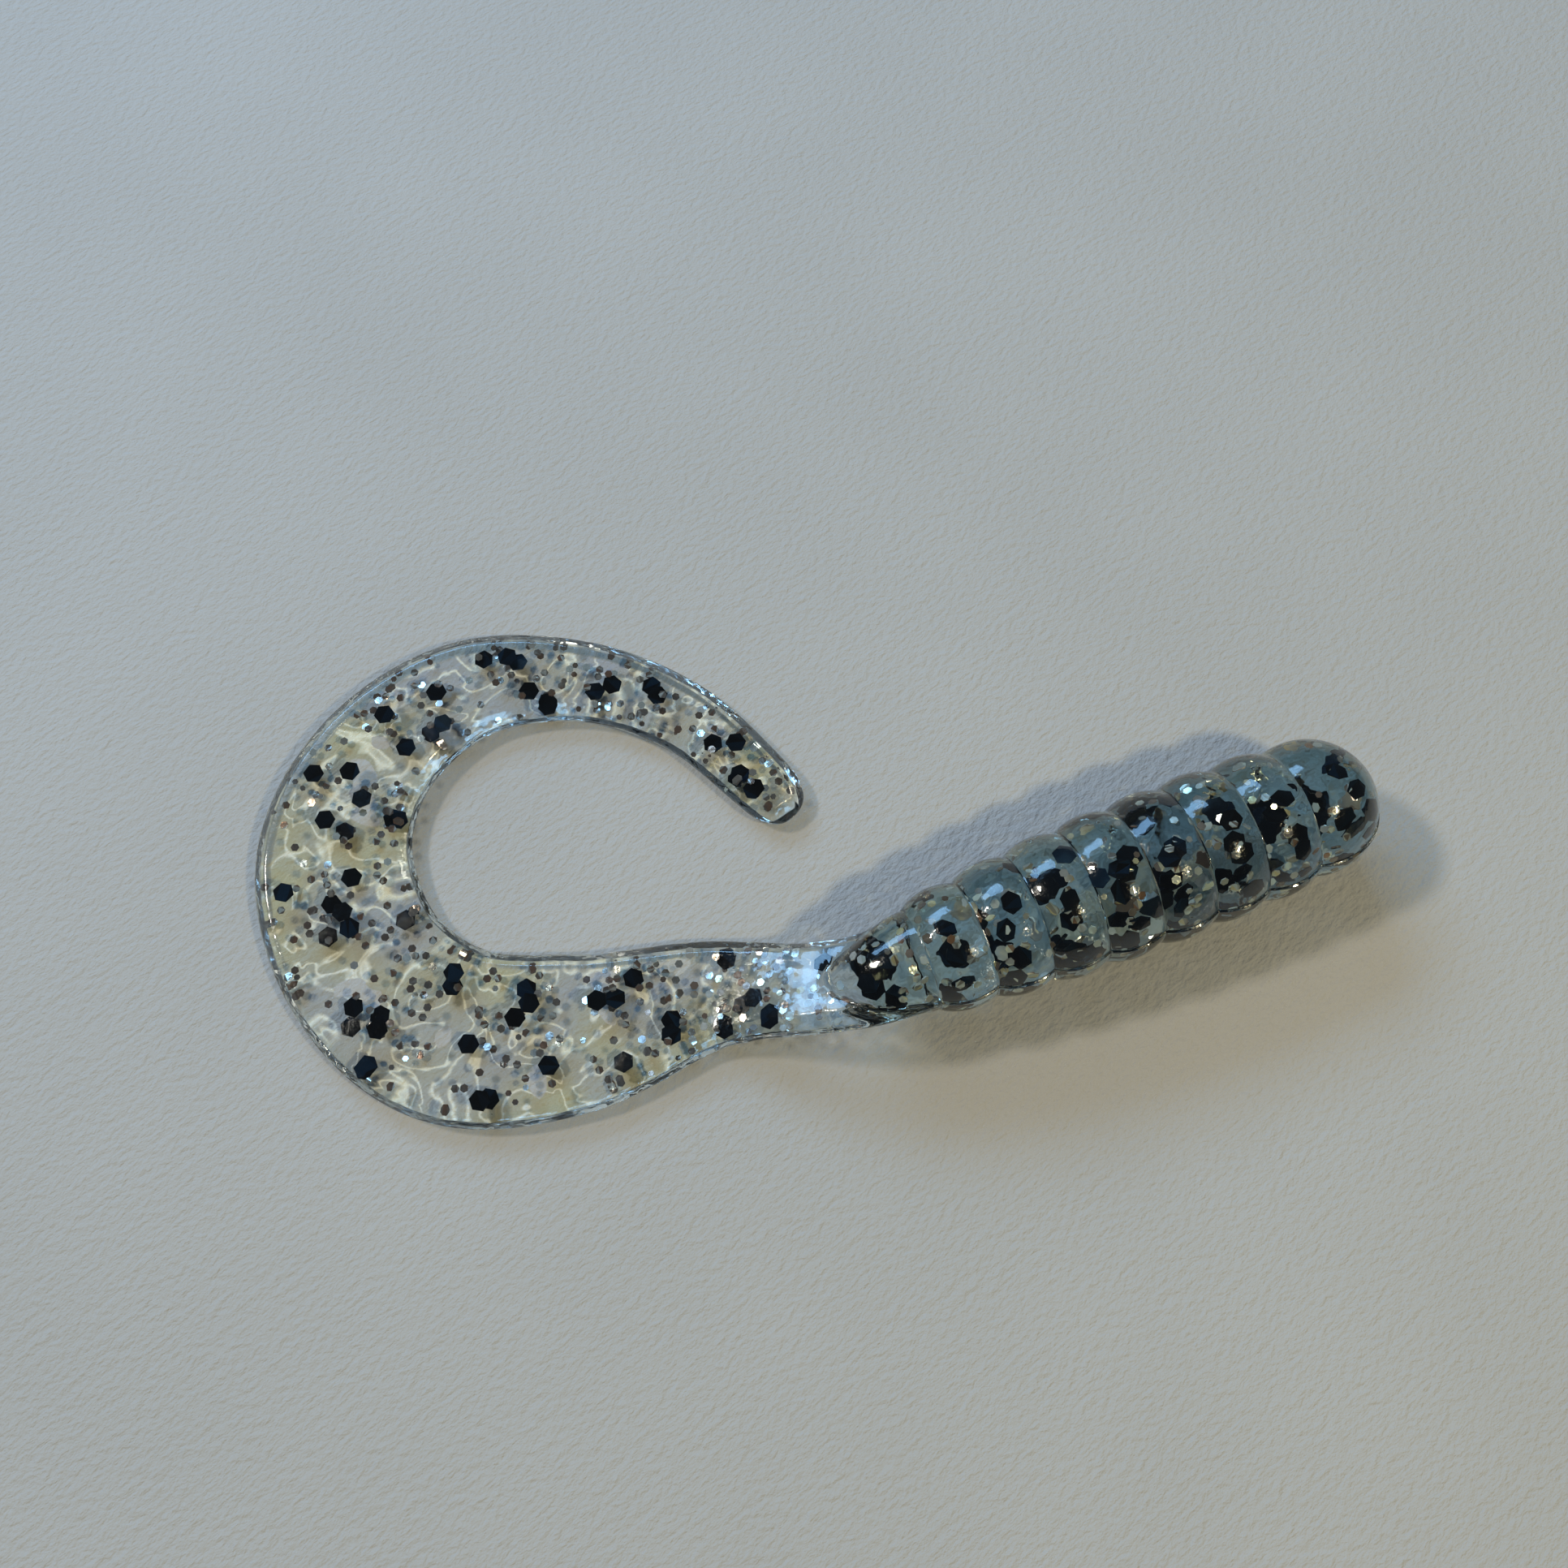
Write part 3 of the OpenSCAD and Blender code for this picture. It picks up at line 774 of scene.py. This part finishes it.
def extra_for(k):
    """How many more black and silver flakes body k of HOSTS takes, and where they go."""
    if k < TAIL_FROM:
        front = -NOSE_CLEAR if k == 0 else groove_x(k - 1) - GROOVE_CLEAR
        rear = groove_x(k) + GROOVE_CLEAR
        return EXTRA_BLACK[k], EXTRA_SILVER[k], lambda rng, size: in_body(rng, rear, front, size)
    if k == TAIL_FROM:
        return *BULLET_EXTRA, in_bullet
    n = k - TAIL_FROM
    amount, lean = {1: (NECK_EXTRA, NECK_LEAN), 2: (FIRST_BLADE_EXTRA, BLADE_LEAN)}.get(
        n, (BLADE_EXTRA, NO_LEAN))
    t0 = CUT_ROWS[n - 1] + (NECK_CLEAR if n == 1 else CUT_CLEAR)
    t1 = LAST_ROW - TIP_CLEAR if k == len(HOSTS) - 1 else CUT_ROWS[n] - CUT_CLEAR
    return *amount, lambda rng, size: in_tail(rng, t0, t1, size, lean)


def make_glitter():
    """Film on the CAD flakes, and more flakes on every body. The body and the bullet take the lit copy of
    the silver film, with its painted glints, and the tail the shaded copy; the extra flakes of the neck
    take the lit copy too.
    """
    for k, host in enumerate(HOSTS):
        # lit copy with painted glints for the body and the bullet, painted shaded copy for the tail
        silver_film = LIT_SILVER_WITH_GLINTS if k <= TAIL_FROM else SHADED_SILVER
        for kind, material in (("black_flakes_", BLACK_FILM), ("silver_flakes_", silver_film)):
            node = frame["nodes"][kind + host]
            node.data.materials.clear()
            node.data.materials.append(material)
        # the neck's extra flakes take the lit copy, with its painted glints
        extra_film = LIT_SILVER_WITH_GLINTS if k == TAIL_FROM + 1 else silver_film
        extra_flakes(host, *extra_for(k), FIRST_SEED + k, extra_film)


# ---------- the stage ----------

# The camera's place, what it looks at, its sensor and its lens, in millimetres
CAMERA_AT, CAMERA_AIM = (-38.93, -14.73, 81.76), (-28.04, 12.79, -4.2)
SENSOR_W, LENS = 36, 37.27
PAPER_HALF = 0.75       # half of the paper's side, in metres
PAPER_GAP = 0.02        # how far the paper is under the lure, in millimetres
MIDDLE = (Vector(cad_box[0]) + Vector(cad_box[1])) / 2
# Name, level heading from the lure, elevation in degrees, distance and sides in metres, watts, colour
LIGHTS = [
    ("window", (-0.80, 0.60), 49, 0.5, (0.065, 0.045), 0.65, (1.0, 0.94, 0.83)),
    ("lamp", (0.60, -0.80), 50, 0.32, (0.028, 0.02), 0.27, (1.0, 0.86, 0.50)),
    ("sky", (-0.15, 0.99), 36, 0.4, (0.26, 0.10), 0.72, (0.30, 0.60, 1.0)),
]
ROOM_COLOUR, ROOM_STRENGTH = (0.66, 0.82, 1.0), 0.085


def look_at(obj, target):
    obj.rotation_euler = (Vector(target) - obj.location).to_track_quat("-Z", "Y").to_euler()


def make_floor():
    mesh = bpy.data.meshes.new("paper_floor")
    half, z = PAPER_HALF, (REST_Z - PAPER_GAP) * MM
    corners = [(-half, -half, z), (half, -half, z), (half, half, z), (-half, half, z)]
    mesh.from_pydata(corners, [], [(0, 1, 2, 3)])
    mesh.materials.append(paper())
    floor = bpy.data.objects.new("paper_floor", mesh)
    bpy.context.scene.collection.objects.link(floor)


def area_light(name, towards, elevation, distance, size, power, colour):
    """A soft light seen from the lure along a level heading and at an elevation."""
    rise = math.radians(elevation)
    lamp = bpy.data.lights.new(name, "AREA")
    lamp.shape, lamp.energy, lamp.color = "RECTANGLE", power, colour
    lamp.size, lamp.size_y = size
    light = bpy.data.objects.new(name, lamp)
    level = unit(np.array(towards, float)) * math.cos(rise)
    light.location = MIDDLE + Vector((level[0], level[1], math.sin(rise))) * distance
    bpy.context.scene.collection.objects.link(light)
    look_at(light, MIDDLE)


def make_lights():
    for light in LIGHTS:
        area_light(*light)
    world = bpy.data.worlds.new("room")
    world.use_nodes = True
    room = world.node_tree.nodes["Background"]
    room.inputs["Color"].default_value = (*ROOM_COLOUR, 1)
    room.inputs["Strength"].default_value = ROOM_STRENGTH
    bpy.context.scene.world = world


def make_camera():
    lens = bpy.data.cameras.new("camera")
    lens.sensor_width, lens.lens = SENSOR_W, LENS
    lens.clip_start = 0.001
    camera = bpy.data.objects.new("camera", lens)
    camera.location = Vector(CAMERA_AT) * MM
    bpy.context.scene.collection.objects.link(camera)
    look_at(camera, Vector(CAMERA_AIM) * MM)
    bpy.context.scene.camera = camera


make_skin()
make_glitter()
make_floor()
make_lights()
make_camera()
bpy.context.scene.view_settings.view_transform = "Standard"
